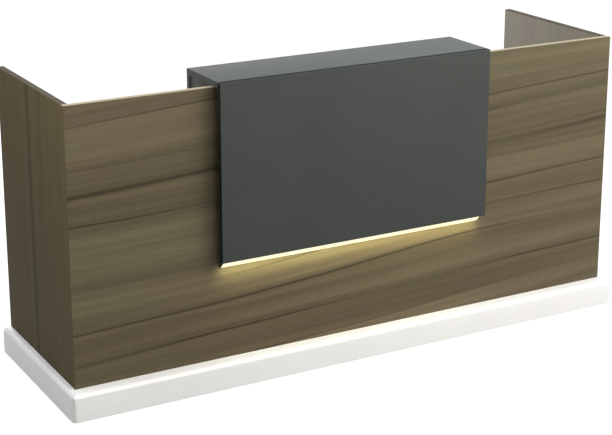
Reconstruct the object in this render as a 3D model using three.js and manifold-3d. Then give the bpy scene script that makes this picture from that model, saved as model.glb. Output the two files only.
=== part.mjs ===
// Reception desk with a raised visitors' counter, drawn board by board as a joiner would cut it.
// Millimetres, +Z up. Visitors stand at -Y and the staff sit at +Y. The origin is on the floor,
// in the middle of the space that the desk takes up.

import * as THREE from "three";
import { mergeVertices } from "three/addons/utils/BufferGeometryUtils.js";
import Module from "manifold-3d";

const wasm = await Module();
wasm.setup();

// Casing: three boards round the visitors' side, mitred at the two front corners
const deskWidth = 2200;
const deskDepth = 640;
const panelHeight = 970;
const panelThickness = 25;
const arrisRadius = 1.5; // rounding along the edges of a board
const glueGap = 0.3; // between two faces that are fixed together
const cutThrough = 1; // a cut runs on past the faces that it opens by this much

// Plinth: a white channel, open underneath, that stands out below the casing
const plinthHeight = 95;
const plinthFrontReach = 55;
const plinthSideReach = 30;
const plinthWall = 18;
const plinthLap = 20; // its top runs in past the casing by this much
const plinthNoseRadius = 18;
const plinthCornerRadius = 18; // of the two upright corners at the front

// Visitors' counter: a top, a long fascia hung in front of the casing, and an apron behind
const counterWidth = 1080;
const counterShift = -31; // from the middle of the desk to the middle of the counter
const counterReach = 212; // from the casing's face back to the rear of the counter
const counterBoard = 22;
const counterOverhang = 3; // past the two gables that carry the counter
const fasciaHeight = 628;
const fasciaGap = 26; // between the fascia and the casing
const fasciaRailHeight = 22;
const apronHeight = 80;

// Light line: a corner section below the fascia, with its diffuser facing down and forward
const lightInset = 10; // from each end of the fascia
const lightLeg = 30;
const lightWall = 1.5;
const lightSeat = 10; // legs of the slanted seat that holds the strip
const lightCap = 1.5;
const lightCapLip = 2; // the end caps stand past the section by this much
const stripWidth = 10;
const stripThickness = 1;
const chipSize = 5;
const chipHeight = 1.5;
const chipPitch = 50;
const diffuserThickness = 1.5;
const diffuserBow = 3;
const driverLength = 160;
const driverWidth = 44;
const driverHeight = 28;
const driverFootLength = 16;
const driverFootThickness = 4;
const driverFootRadius = 1;
const driverEdgeRadius = 3;
const driverDrop = 90; // below the worktop
const driverFromGable = 60;

// Worktop, with two round cable outlets
const worktopHeight = 750;
const worktopThickness = 25;
const worktopSetback = 12; // from the back edges of the side panels
const outletFromGable = 80; // from a counter gable in to the middle of an outlet
const outletFromPanel = 110;
const outletHoleRadius = 30;
const outletFlange = 5;
const outletFlangeThickness = 2;
const outletWall = 2;
const outletDepth = 20;
const outletLedge = 3.5;
const outletLedgeThickness = 2;
const outletCapThickness = 3;
const outletNotchWidth = 16;
const outletNotchDepth = 18;

// Two pedestals under the worktop: drawers at +X and a cupboard at -X
const pedestalWidth = 430;
const carcassBoard = 18;
const pedestalBack = 12;
const cableVoid = 68; // between the casing and a pedestal's back
const frontSetback = 48; // from the back edges of the side panels
const frontThickness = 18;
const frontGap = 3; // round every door and drawer front
const footStripHeight = 8;
const kickSetback = 55; // from the fronts back to the kick board below them

// Drawers on telescopic runners
const topDrawerHeight = 150;
const middleDrawerHeight = 150;
const drawerBoxRise = 22; // from the bottom of the front to the bottom of the box
const drawerBoxDrop = 34; // from the top of the front to the top of the box
const drawerWall = 12;
const drawerBottom = 6;
const drawerBottomRise = 8;
const drawerBackRoom = 30; // between a box and the pedestal's back
const runnerHeight = 45;
const runnerDepth = 12.7;
const runnerSheet = 1.2;
const runnerLip = 3;
const runnerShort = 10; // a runner stops this far before the back of the box
const runningGap = 0.3;

// Bow handles
const handleLength = 168;
const handleReach = 32;
const handleBar = 9;
const handleHeight = 12;
const handleBend = 16;
const handleDrop = 62; // from the top of a front to the middle of its handle

// Cupboard with one shelf and a door on two pivots
const shelfRise = 310; // above the cupboard floor
const shelfSetback = 30; // behind the door
const doorHingeGap = 4;
const pivotFromPanel = 15;
const pivotPlateRadius = 8;
const pivotPinRadius = 4;
const pivotPinLength = 12;
const pivotBoreSpare = 1; // room past the end of a pin
const doorHandleInset = 45; // from the free edge
const doorHandleDrop = 150; // from the top of the door to the middle of its handle
const catchLength = 46;
const catchDepth = 16;
const catchHeight = 15;
const catchInset = 30; // from the free edge

// Places that several pieces share
const frontFace = plinthFrontReach - (deskDepth + plinthFrontReach) / 2;
const frontInner = frontFace + panelThickness;
const backEdge = frontFace + deskDepth;
const sideFace = deskWidth / 2;
const sideInner = sideFace - panelThickness;
const panelTop = plinthHeight + glueGap + panelHeight;
const counterUnderside = panelTop + glueGap;
const counterSurface = counterUnderside + counterBoard;
const counterStart = counterShift - counterWidth / 2;
const counterEnd = counterShift + counterWidth / 2;
const counterRear = frontFace + counterReach;
const counterGableLeft = counterStart + counterOverhang;
const counterGableRight = counterEnd - counterOverhang;
const fasciaBack = frontFace - fasciaGap;
const fasciaBottom = counterSurface - fasciaHeight;
const worktopUnderside = worktopHeight - worktopThickness;
const pedestalFace = backEdge - frontSetback;
const frontRear = pedestalFace - frontThickness;
const gableInner = sideInner - pedestalWidth; // the knee space's side of a gable
const gableOuter = gableInner + carcassBoard;
const pedestalFloorTop = plinthHeight + glueGap + carcassBoard;
const pedestalBackFace = frontInner + cableVoid + pedestalBack;

const finishes = {
  walnut: { color: "#6d624b", roughness: 0.5 },
  slate: { color: "#4e524c", roughness: 0.55 },
  white: { color: "#ecebe7", roughness: 0.4 },
  melamine: { color: "#c9c8c2", roughness: 0.5 },
  aluminium: { color: "#b9bcbe", roughness: 0.35, metalness: 1 },
  zinc: { color: "#a9adb0", roughness: 0.4, metalness: 1 },
  nickel: { color: "#b4b0a8", roughness: 0.3, metalness: 1 },
  opal: { color: "#fff3cf", roughness: 0.4, emissive: "#fff0c4", emissiveIntensity: 2 },
  circuit: { color: "#f2f1ea", roughness: 0.6 },
  black: { color: "#26282a", roughness: 0.6 },
};

const desk = new THREE.Group();

function piece(parent, name, finish, geometry) {
  const mesh = new THREE.Mesh(geometry, new THREE.MeshStandardMaterial(finishes[finish]));
  mesh.name = name;
  parent.add(mesh);
  return mesh;
}

function groupAt(x, y, z) {
  const group = new THREE.Group();
  group.position.set(x, y, z);
  desk.add(group);
  return group;
}

// A closed outline from corners [x, y, radius], where a corner with no radius stays sharp.
function outline(corners, arcSteps = 3) {
  const points = [];
  corners.forEach(([x, y, radius = 0], i) => {
    const corner = new THREE.Vector2(x, y);
    const back = new THREE.Vector2(...corners.at(i - 1)).sub(corner).normalize();
    const ahead = new THREE.Vector2(...corners[(i + 1) % corners.length]).sub(corner).normalize();
    if (radius === 0) {
      points.push(corner);
      return;
    }
    const halfAngle = Math.acos(back.dot(ahead)) / 2;
    const bisector = back.clone().add(ahead).normalize();
    const centre = corner.clone().addScaledVector(bisector, radius / Math.sin(halfAngle));
    const start = back.multiplyScalar(radius / Math.tan(halfAngle)).add(corner).sub(centre);
    const end = ahead.multiplyScalar(radius / Math.tan(halfAngle)).add(corner).sub(centre);
    const sweep = Math.atan2(start.cross(end), start.dot(end));
    for (let k = 0; k <= arcSteps; k += 1) {
      points.push(start.clone().rotateAround(new THREE.Vector2(), (sweep * k) / arcSteps).add(centre));
    }
  });
  return new THREE.Shape(points);
}

function rectangle([left, right], [low, high], radius = 0) {
  return outline([[left, low, radius], [right, low, radius], [right, high, radius], [left, high, radius]]);
}

const axis = {
  x: new THREE.Vector3(1, 0, 0),
  y: new THREE.Vector3(0, 1, 0),
  z: new THREE.Vector3(0, 0, 1),
};

// A section run along an axis: drawn as (y, z) along x, as (z, x) along y and as (x, y) along z.
const runFrame = {
  x: new THREE.Matrix4().makeBasis(axis.y, axis.z, axis.x),
  y: new THREE.Matrix4().makeBasis(axis.z, axis.x, axis.y),
  z: new THREE.Matrix4().makeBasis(axis.x, axis.y, axis.z),
};

function run(section, along, [start, end]) {
  const geometry = new THREE.ExtrudeGeometry(section, { depth: end - start, bevelEnabled: false });
  return geometry.translate(0, 0, start).applyMatrix4(runFrame[along]);
}

// A board with rounded arrises, given by its span on each axis and the axis that its grain follows.
function boardGeometry(along, x, y, z) {
  const spans = [x, y, z];
  const first = "xyz".indexOf(along);
  const section = rectangle(spans[(first + 1) % 3], spans[(first + 2) % 3], arrisRadius);
  return run(section, along, spans[first]);
}

function board(parent, name, finish, along, x, y, z) {
  return piece(parent, name, finish, boardGeometry(along, x, y, z));
}

// A length with a section drawn as (depth, height), whose mitred ends are cut back by their depth.
function mouldingGeometry(section, length, mitredStart, mitredEnd) {
  const geometry = new THREE.ExtrudeGeometry(section, { depth: length, bevelEnabled: false });
  const position = geometry.attributes.position;
  for (let i = 0; i < position.count; i += 1) {
    const cut = position.getX(i) + glueGap;
    const atEnd = position.getZ(i) > length / 2;
    if (atEnd && mitredEnd) position.setZ(i, length - cut);
    if (!atEnd && mitredStart) position.setZ(i, cut);
  }
  return geometry;
}

// Three mitred lengths, given as unplaced geometries, set round the visitors' side of the desk.
function placeThreeSides(name, finish, lengths, frontY, sideX, bottom) {
  const left = axis.x.clone().negate();
  const forward = axis.y.clone().negate();
  const front = lengths.front.applyMatrix4(new THREE.Matrix4().makeBasis(axis.y, axis.z, axis.x));
  piece(desk, `${name}_front`, finish, front).position.set(-sideX, frontY, bottom);
  const leftSide = lengths.left.applyMatrix4(new THREE.Matrix4().makeBasis(axis.x, axis.z, forward));
  piece(desk, `${name}_left`, finish, leftSide).position.set(-sideX, backEdge, bottom);
  const rightSide = lengths.right.applyMatrix4(new THREE.Matrix4().makeBasis(left, axis.z, axis.y));
  piece(desk, `${name}_right`, finish, rightSide).position.set(sideX, frontY, bottom);
}

function solidOf(geometry) {
  const bare = geometry.clone();
  bare.deleteAttribute("normal");
  bare.deleteAttribute("uv");
  const merged = mergeVertices(bare);
  const vertProperties = merged.attributes.position.array;
  const triVerts = new Uint32Array(merged.index.array);
  return new wasm.Manifold(new wasm.Mesh({ numProp: 3, vertProperties, triVerts }));
}

function geometryOf(solid) {
  const { vertProperties, triVerts } = solid.getMesh();
  const geometry = new THREE.BufferGeometry();
  geometry.setAttribute("position", new THREE.BufferAttribute(vertProperties, 3));
  geometry.setIndex(new THREE.BufferAttribute(triVerts, 1));
  geometry.computeVertexNormals();
  return geometry;
}

function cut(geometry, tools) {
  return geometryOf(tools.reduce((rest, tool) => rest.subtract(solidOf(tool)), solidOf(geometry)));
}

function join(geometry, additions) {
  return geometryOf(additions.reduce((whole, extra) => whole.add(solidOf(extra)), solidOf(geometry)));
}

// A round bar along z
function rod(radius, [low, high], x, y, sides = 24) {
  const geometry = new THREE.CylinderGeometry(radius, radius, high - low, sides);
  return geometry.rotateX(Math.PI / 2).translate(x, y, (low + high) / 2);
}

// A turned piece about z, from a profile of [radius, height] points
function turned(profile, sides = 24) {
  const points = profile.map(([radius, height]) => new THREE.Vector2(radius, height));
  return new THREE.LatheGeometry(points, sides).rotateX(Math.PI / 2);
}

function makeCasing() {
  const section = outline([
    [0, 0], [panelThickness, 0],
    [panelThickness, panelHeight, arrisRadius], [0, panelHeight, arrisRadius],
  ]);
  const lengths = {
    front: mouldingGeometry(section, deskWidth, true, true),
    left: mouldingGeometry(section, deskDepth, false, true),
    right: mouldingGeometry(section, deskDepth, true, false),
  };
  placeThreeSides("panel", "walnut", lengths, frontFace, sideFace, plinthHeight + glueGap);
}

// The plinth's section: a channel with a rounded nose, or the whole block that closes a channel's end.
function plinthSection(reach, closed) {
  const depth = reach + panelThickness + plinthLap;
  const shelf = plinthHeight - plinthWall;
  const channel = [
    [plinthWall, 0], [plinthWall, shelf], [depth - plinthWall, shelf], [depth - plinthWall, 0],
  ];
  return outline([
    [0, 0], ...(closed ? [] : channel), [depth, 0],
    [depth, plinthHeight, arrisRadius], [0, plinthHeight, plinthNoseRadius],
  ], 5);
}

// What is cut off the plinth's upright corner at one end of a length: along is 1 at its start, -1 at its end.
function plinthCornerTool(end, along) {
  const corner = new THREE.Shape();
  corner.moveTo(-cutThrough, -along * cutThrough);
  corner.lineTo(plinthCornerRadius, -along * cutThrough);
  const [from, to] = [-along * Math.PI / 2, Math.PI];
  corner.absarc(plinthCornerRadius, along * plinthCornerRadius, plinthCornerRadius, from, to, along > 0);
  corner.lineTo(-cutThrough, along * plinthCornerRadius);
  const depth = plinthHeight + 2 * cutThrough;
  const tool = new THREE.ExtrudeGeometry(corner, { depth, bevelEnabled: false, curveSegments: 6 });
  return tool.rotateX(Math.PI / 2).translate(0, plinthHeight + cutThrough, end);
}

function makePlinth() {
  const frontY = frontFace - plinthFrontReach;
  const sideX = sideFace + plinthSideReach;
  const sideLength = deskDepth + plinthFrontReach;
  const sideSection = plinthSection(plinthSideReach, false);
  const endSection = plinthSection(plinthSideReach, true);
  const end = new THREE.ExtrudeGeometry(endSection, { depth: plinthWall, bevelEnabled: false });
  const lastEnd = end.clone().translate(0, 0, sideLength - plinthWall);
  const front = mouldingGeometry(plinthSection(plinthFrontReach, false), 2 * sideX, true, true);
  const left = join(mouldingGeometry(sideSection, sideLength, false, true), [end]);
  const right = join(mouldingGeometry(sideSection, sideLength, true, false), [lastEnd]);
  const lengths = {
    front: cut(front, [plinthCornerTool(0, 1), plinthCornerTool(2 * sideX, -1)]),
    left: cut(left, [plinthCornerTool(sideLength, -1)]),
    right: cut(right, [plinthCornerTool(0, 1)]),
  };
  placeThreeSides("plinth", "white", lengths, frontY, sideX, 0);
}

function makeCounter() {
  const spanX = [counterStart, counterEnd];
  const surfaceZ = [counterUnderside, counterSurface];
  const fasciaY = [fasciaBack - counterBoard, fasciaBack];
  const apronY = [counterRear - counterBoard, counterRear];
  board(desk, "counter_top", "slate", "x", spanX, [fasciaBack + glueGap, counterRear], surfaceZ);
  board(desk, "counter_fascia", "slate", "x", spanX, fasciaY, [fasciaBottom, counterSurface]);
  const apronTop = counterUnderside - glueGap;
  board(desk, "counter_apron", "slate", "x", spanX, apronY, [apronTop - apronHeight, apronTop]);
  const gableY = [frontInner + glueGap, apronY[0] - glueGap];
  const gableZ = [worktopHeight + glueGap, counterUnderside - glueGap];
  const leftX = [counterGableLeft, counterGableLeft + counterBoard];
  const rightX = [counterGableRight - counterBoard, counterGableRight];
  board(desk, "counter_gable_left", "slate", "z", leftX, gableY, gableZ);
  board(desk, "counter_gable_right", "slate", "z", rightX, gableY, gableZ);
  const railX = [counterStart + lightInset, counterEnd - lightInset];
  const railY = [fasciaBack + glueGap, frontFace - glueGap];
  board(desk, "fascia_rail", "slate", "x", railX, railY, [fasciaBottom, fasciaBottom + fasciaRailHeight]);
}

// The light line is drawn about the corner where the rail's underside meets the casing.
function makeLight() {
  const light = groupAt(0, frontFace - glueGap, fasciaBottom - glueGap);
  const capStart = counterStart + lightInset;
  const capEnd = counterEnd - lightInset;
  const runX = [capStart + lightCap + glueGap, capEnd - lightCap - glueGap];
  const channel = outline([
    [0, 0], [-lightLeg, 0], [-lightLeg, -lightWall], [-lightSeat, -lightWall],
    [-lightWall, -lightSeat], [-lightWall, -lightLeg], [0, -lightLeg],
  ]);
  piece(light, "light_channel", "aluminium", run(channel, "x", runX));

  const capLeg = lightLeg + lightCapLip;
  const cap = outline([
    [0, 0], [-capLeg, 0], [-capLeg, -lightCapLip], [-lightCapLip, -capLeg], [0, -capLeg],
  ]);
  piece(light, "light_cap_left", "black", run(cap, "x", [capStart, capStart + lightCap]));
  piece(light, "light_cap_right", "black", run(cap, "x", [capEnd - lightCap, capEnd]));

  // Points on the slant: across runs from the casing's side up to the fascia's, and out leaves the corner.
  const slant = (across, out) => [
    (-across - out) * Math.SQRT1_2,
    (across - out) * Math.SQRT1_2,
  ];
  const seatOut = (lightSeat + lightWall) * Math.SQRT1_2 + glueGap;
  const slab = (halfWidth, low, high) => outline([
    slant(-halfWidth, low), slant(-halfWidth, high), slant(halfWidth, high), slant(halfWidth, low),
  ]);
  const tape = run(slab(stripWidth / 2, seatOut, seatOut + stripThickness), "x", runX);
  const chipFoot = seatOut + stripThickness / 2;
  const chipSection = slab(chipSize / 2, chipFoot, seatOut + stripThickness + chipHeight);
  const chips = [];
  for (let x = runX[0] + chipPitch / 2; x + chipSize / 2 < runX[1]; x += chipPitch) {
    chips.push(run(chipSection, "x", [x - chipSize / 2, x + chipSize / 2]));
  }
  piece(light, "light_strip", "circuit", join(tape, chips));

  // The diffuser bows out between the tips of the two legs.
  const tipRoom = lightWall + glueGap + diffuserThickness * Math.SQRT1_2;
  const chordHalf = (lightLeg - tipRoom) * Math.SQRT1_2;
  const chordOut = (lightLeg + tipRoom) * Math.SQRT1_2;
  const bowSteps = 8;
  const skin = [];
  for (let k = 0; k <= bowSteps; k += 1) {
    const t = (2 * k) / bowSteps - 1;
    skin.push([t * chordHalf, chordOut + diffuserBow * (1 - t * t)]);
  }
  const outer = skin.map(([across, out]) => slant(across, out));
  const inner = skin.map(([across, out]) => slant(across, out - diffuserThickness)).reverse();
  piece(light, "light_diffuser", "opal", run(outline([...outer, ...inner]), "x", runX));
}

// The light's driver sits on the inside of the casing, on two feet.
function makeDriver() {
  const half = driverLength / 2;
  const toe = half + driverFootLength;
  const side = outline([
    [-toe, 0, driverFootRadius], [-toe, driverFootThickness, driverFootRadius],
    [-half, driverFootThickness], [-half, driverHeight, driverEdgeRadius],
    [half, driverHeight, driverEdgeRadius], [half, driverFootThickness],
    [toe, driverFootThickness, driverFootRadius], [toe, 0, driverFootRadius],
  ]);
  const geometry = run(side, "z", [-driverWidth, 0]);
  const x = gableInner - driverFromGable - toe;
  const driver = piece(desk, "light_driver", "black", geometry);
  driver.position.set(x, frontInner + glueGap, worktopUnderside - driverDrop);
}

function makeWorktop() {
  const holeZ = [worktopUnderside - cutThrough, worktopHeight + cutThrough];
  const outletY = frontInner + outletFromPanel;
  const leftX = counterGableLeft + counterBoard + outletFromGable;
  const rightX = counterGableRight - counterBoard - outletFromGable;
  const spanX = [-sideInner + glueGap, sideInner - glueGap];
  const spanY = [frontInner + glueGap, backEdge - worktopSetback];
  const plain = boardGeometry("x", spanX, spanY, [worktopUnderside, worktopHeight]);
  const holes = [leftX, rightX].map((x) => rod(outletHoleRadius, holeZ, x, outletY, 32));
  piece(desk, "worktop", "walnut", cut(plain, holes));
  makeCableOutlet("left", leftX, outletY);
  makeCableOutlet("right", rightX, outletY);
}

// A cable outlet is a flanged sleeve, and a notched cap that turns on a ledge inside it.
function makeCableOutlet(side, x, y) {
  const outlet = groupAt(x, y, worktopHeight);
  const sleeve = outletHoleRadius - glueGap;
  const bore = sleeve - outletWall;
  const rim = outletHoleRadius + outletFlange;
  const seat = outletFlangeThickness - outletCapThickness;
  const ring = turned([
    [bore, outletFlangeThickness], [bore, seat], [bore - outletLedge, seat],
    [bore - outletLedge, seat - outletLedgeThickness], [bore, seat - outletLedgeThickness],
    [bore, -outletDepth], [sleeve, -outletDepth], [sleeve, glueGap], [rim, glueGap],
    [rim - outletFlangeThickness / 2, outletFlangeThickness], [bore, outletFlangeThickness],
  ], 32);
  piece(outlet, `cable_ring_${side}`, "black", ring);

  const capRadius = bore - runningGap;
  const half = outletNotchWidth / 2;
  const mouth = Math.asin(half / capRadius);
  const cap = new THREE.Shape();
  cap.absarc(0, 0, capRadius, mouth, 2 * Math.PI - mouth);
  cap.absarc(capRadius - outletNotchDepth + half, 0, half, -Math.PI / 2, Math.PI / 2, true);
  const disc = new THREE.ExtrudeGeometry(cap, {
    depth: outletCapThickness - runningGap,
    bevelEnabled: false,
    curveSegments: 16,
  });
  const turn = piece(outlet, `cable_cap_${side}`, "black", disc.rotateZ(-Math.PI / 2));
  turn.position.z = seat + runningGap;
}

// A pedestal's own boards: side is 1 for the drawers at +X and -1 for the cupboard at -X.
function makeCarcass(name, side) {
  const across = (near, far) => (side > 0 ? [near, far] : [-far, -near]);
  const shelfX = across(gableOuter + glueGap, sideInner - glueGap);
  const notchY = frontInner + plinthLap + glueGap;
  const notchZ = plinthHeight + glueGap;
  const bottom = footStripHeight + glueGap;
  const top = worktopUnderside - glueGap;
  const gable = outline([
    [notchY, bottom], [pedestalFace, bottom, arrisRadius], [pedestalFace, top, arrisRadius],
    [frontInner + glueGap, top], [frontInner + glueGap, notchZ], [notchY, notchZ],
  ]);
  piece(desk, `${name}_gable`, "walnut", run(gable, "x", across(gableInner, gableOuter)));
  const strip = across(gableInner + arrisRadius, gableOuter - arrisRadius);
  board(desk, `${name}_foot_strip`, "black", "y", strip, [notchY, pedestalFace], [0, footStripHeight]);
  const floorZ = [pedestalFloorTop - carcassBoard, pedestalFloorTop];
  const floorY = [frontInner + cableVoid, frontRear - glueGap];
  board(desk, `${name}_floor`, "walnut", "x", shelfX, floorY, floorZ);
  const kickX = across(gableOuter + glueGap, sideInner - plinthLap - glueGap);
  const kickY = [pedestalFace - kickSetback - carcassBoard, pedestalFace - kickSetback];
  board(desk, `${name}_kick`, "white", "x", kickX, kickY, [0, plinthHeight]);
  const backY = [pedestalBackFace - pedestalBack, pedestalBackFace];
  board(desk, `${name}_back`, "walnut", "z", shelfX, backY, [pedestalFloorTop + glueGap, top]);
}

// A bow handle, with its feet on y = 0 and its bar along x
function handleGeometry() {
  const half = handleLength / 2;
  const inside = half - handleBar;
  const grip = handleReach - handleBar;
  const insideBend = handleBend - handleBar;
  const bow = outline([
    [-half, 0], [-inside, 0], [-inside, grip, insideBend], [inside, grip, insideBend],
    [inside, 0], [half, 0], [half, handleReach, handleBend], [-half, handleReach, handleBend],
  ], 4);
  return run(bow, "z", [-handleHeight / 2, handleHeight / 2]);
}

// Runner sections, drawn as (out from the carcass, up): the cabinet's holds the drawer's by its lips.
function cabinetRunnerSection() {
  const half = runnerHeight / 2;
  const mouth = runnerDepth - runnerSheet;
  const throat = half - runnerLip;
  return [
    [0, -half], [mouth, -half], [mouth, -throat], [mouth - runnerSheet, -throat],
    [mouth - runnerSheet, runnerSheet - half], [runnerSheet, runnerSheet - half],
    [runnerSheet, half - runnerSheet], [mouth - runnerSheet, half - runnerSheet],
    [mouth - runnerSheet, throat], [mouth, throat], [mouth, half], [0, half],
  ];
}

function drawerRunnerSection() {
  const neck = runnerHeight / 2 - runnerLip - runningGap;
  const wing = runnerHeight / 2 - runnerSheet - runningGap;
  const tip = runnerSheet + runningGap;
  const inside = neck - runnerSheet;
  return [
    [runnerDepth, -neck], [runnerDepth, neck], [tip + runnerSheet, neck], [tip + runnerSheet, wing],
    [tip, wing], [tip, inside], [runnerDepth - runnerSheet, inside],
    [runnerDepth - runnerSheet, -inside], [tip, -inside], [tip, -wing],
    [tip + runnerSheet, -wing], [tip + runnerSheet, -neck],
  ];
}

// A runner along y, standing out from a wall at the given x towards the drawer.
function runnerGeometry(section, wallX, towards, height, spanY) {
  const placed = section.map(([out, up]) => [height + up, wallX + towards * out]);
  return run(outline(placed), "y", spanY);
}

// One drawer: its front, box, handle and runners, in a group that stands on the bottom edge of its front.
function makeDrawer(name, bottom, height) {
  const drawer = groupAt(0, 0, bottom);
  const wallX = [gableOuter, sideInner];
  const frontX = [wallX[0] + frontGap, wallX[1] - frontGap];
  board(drawer, `drawer_${name}_front`, "slate", "x", frontX, [frontRear, pedestalFace], [0, height]);

  const sideRoom = runnerDepth + 2 * glueGap;
  const boxX = [wallX[0] + sideRoom, wallX[1] - sideRoom];
  const boxY = [pedestalBackFace + drawerBackRoom, frontRear - glueGap];
  const boxZ = [drawerBoxRise, height - drawerBoxDrop];
  const insideX = [boxX[0] + drawerWall, boxX[1] - drawerWall];
  const insideY = [boxY[0] + drawerWall, boxY[1] - drawerWall];
  const bottomZ = [boxZ[0] + drawerBottomRise, boxZ[0] + drawerBottomRise + drawerBottom];
  const hollow = run(rectangle(insideX, insideY), "z", [bottomZ[1], boxZ[1] + cutThrough]);
  const recess = run(rectangle(insideX, insideY), "z", [boxZ[0] - cutThrough, bottomZ[0]]);
  const box = cut(boardGeometry("y", boxX, boxY, boxZ), [hollow, recess]);
  piece(drawer, `drawer_${name}_box`, "melamine", box);

  const handle = piece(drawer, `drawer_${name}_handle`, "nickel", handleGeometry());
  handle.position.set((frontX[0] + frontX[1]) / 2, pedestalFace + glueGap, height - handleDrop);

  const runnerZ = (boxZ[0] + boxZ[1]) / 2;
  const runnerY = [boxY[0] + runnerShort, boxY[1] - glueGap];
  ["left", "right"].forEach((side, i) => {
    const towards = i === 0 ? 1 : -1;
    const wall = wallX[i] + towards * glueGap;
    const fixed = runnerGeometry(cabinetRunnerSection(), wall, towards, runnerZ, runnerY);
    piece(drawer, `cabinet_runner_${name}_${side}`, "zinc", fixed);
    const sliding = runnerGeometry(drawerRunnerSection(), wall, towards, runnerZ, runnerY);
    piece(drawer, `drawer_${name}_runner_${side}`, "zinc", sliding);
  });
}

function makeDrawers() {
  makeCarcass("drawer", 1);
  const lowest = pedestalFloorTop + frontGap;
  const topBottom = worktopUnderside - frontGap - topDrawerHeight;
  const middleBottom = topBottom - frontGap - middleDrawerHeight;
  makeDrawer("top", topBottom, topDrawerHeight);
  makeDrawer("middle", middleBottom, middleDrawerHeight);
  makeDrawer("bottom", lowest, middleBottom - frontGap - lowest);
}

function makeCupboard() {
  makeCarcass("cupboard", -1);
  const shelfX = [-sideInner + glueGap, -gableOuter - glueGap];
  const shelfY = [pedestalBackFace + glueGap, frontRear - shelfSetback];
  const shelfZ = pedestalFloorTop + shelfRise;
  board(desk, "cupboard_shelf", "walnut", "x", shelfX, shelfY, [shelfZ, shelfZ + carcassBoard]);

  const doorX = [-sideInner + doorHingeGap, -gableOuter - frontGap];
  const doorZ = [pedestalFloorTop + frontGap, worktopUnderside - frontGap];
  const pivotX = -sideInner + pivotFromPanel;
  const pivotY = pedestalFace - frontThickness / 2;
  const plate = frontGap - glueGap - runningGap;
  const boreDepth = pivotPinLength + pivotBoreSpare;
  const bores = [
    rod(pivotPinRadius + runningGap, [doorZ[0] - cutThrough, doorZ[0] + boreDepth], pivotX, pivotY),
    rod(pivotPinRadius + runningGap, [doorZ[1] - boreDepth, doorZ[1] + cutThrough], pivotX, pivotY),
  ];
  const leaf = boardGeometry("z", doorX, [frontRear, pedestalFace], doorZ);
  piece(desk, "cupboard_door", "slate", cut(leaf, bores));

  const pivot = turned([
    [0, 0], [pivotPlateRadius, 0], [pivotPlateRadius, plate], [pivotPinRadius, plate],
    [pivotPinRadius, plate + pivotPinLength], [0, plate + pivotPinLength],
  ]);
  const lowPivot = piece(desk, "door_pivot_bottom", "zinc", pivot);
  lowPivot.position.set(pivotX, pivotY, pedestalFloorTop + glueGap);
  const highPivot = piece(desk, "door_pivot_top", "zinc", pivot);
  highPivot.position.set(pivotX, pivotY, worktopUnderside - glueGap);
  highPivot.rotation.x = Math.PI;

  const handle = piece(desk, "door_handle", "nickel", handleGeometry().rotateY(Math.PI / 2));
  handle.position.set(doorX[1] - doorHandleInset, pedestalFace + glueGap, doorZ[1] - doorHandleDrop);

  const catchX = [doorX[1] - catchInset - catchLength, doorX[1] - catchInset];
  const catchY = [frontRear - glueGap - catchDepth, frontRear - glueGap];
  const catchTop = worktopUnderside - glueGap;
  board(desk, "door_catch", "black", "x", catchX, catchY, [catchTop - catchHeight, catchTop]);
}

makeCasing();
makePlinth();
makeCounter();
makeLight();
makeDriver();
makeWorktop();
makeDrawers();
makeCupboard();

export default desk;
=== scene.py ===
import math
import bmesh
import bpy
from mathutils import Matrix, Vector


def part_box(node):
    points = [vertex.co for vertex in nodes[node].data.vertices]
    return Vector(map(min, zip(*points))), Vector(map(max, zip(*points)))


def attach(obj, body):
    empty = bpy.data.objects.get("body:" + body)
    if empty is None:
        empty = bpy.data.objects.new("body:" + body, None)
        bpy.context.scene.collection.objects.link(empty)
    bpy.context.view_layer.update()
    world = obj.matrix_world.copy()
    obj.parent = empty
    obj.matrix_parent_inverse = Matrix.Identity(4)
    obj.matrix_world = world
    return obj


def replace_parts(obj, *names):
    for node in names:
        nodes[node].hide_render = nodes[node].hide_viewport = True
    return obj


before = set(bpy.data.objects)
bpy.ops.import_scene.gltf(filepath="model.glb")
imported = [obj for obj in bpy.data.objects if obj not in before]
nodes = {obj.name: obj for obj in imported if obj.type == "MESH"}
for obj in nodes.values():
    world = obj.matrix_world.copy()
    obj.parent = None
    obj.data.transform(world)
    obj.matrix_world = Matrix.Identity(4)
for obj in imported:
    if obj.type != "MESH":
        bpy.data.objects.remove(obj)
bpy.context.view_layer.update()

# Reception desk with a raised visitors' counter: wood-grain casing, white plinth, light line.
# Metres, +Z up. Visitors stand at -Y and the staff sit at +Y.

scene = bpy.context.scene
scene.view_settings.view_transform = "Standard"
mm = 0.001
drawers = ("top", "middle", "bottom")


def linear(hexCode):
    channels = [int(hexCode[i:i + 2], 16) / 255 for i in (1, 3, 5)]
    return tuple(c / 12.92 if c <= 0.04045 else ((c + 0.055) / 1.055) ** 2.4 for c in channels) + (1.0,)


# Adds a node: settings are its own properties, inputs are values or sockets to link from.
def addNode(tree, kind, inputs=None, **settings):
    node = tree.nodes.new(kind)
    for name, value in settings.items():
        setattr(node, name, value)
    for key, value in (inputs or {}).items():
        if isinstance(value, bpy.types.NodeSocket):
            tree.links.new(value, node.inputs[key])
        else:
            node.inputs[key].default_value = value
    return node


# A material with its tree and its Principled shader, which has the values given
def newMaterial(name, **values):
    material = bpy.data.materials.new(name)
    material.use_nodes = True
    tree = material.node_tree
    tree.nodes.clear()
    shader = addNode(tree, "ShaderNodeBsdfPrincipled", values)
    addNode(tree, "ShaderNodeOutputMaterial", {"Surface": shader.outputs["BSDF"]})
    return material, tree, shader


def setRamp(node, stops):
    ramp = node.color_ramp
    while len(ramp.elements) > 1:
        ramp.elements.remove(ramp.elements[-1])
    for i, (place, colour) in enumerate(stops):
        element = ramp.elements[0] if i == 0 else ramp.elements.new(place)
        element.position = place
        element.color = linear(colour)


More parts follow.
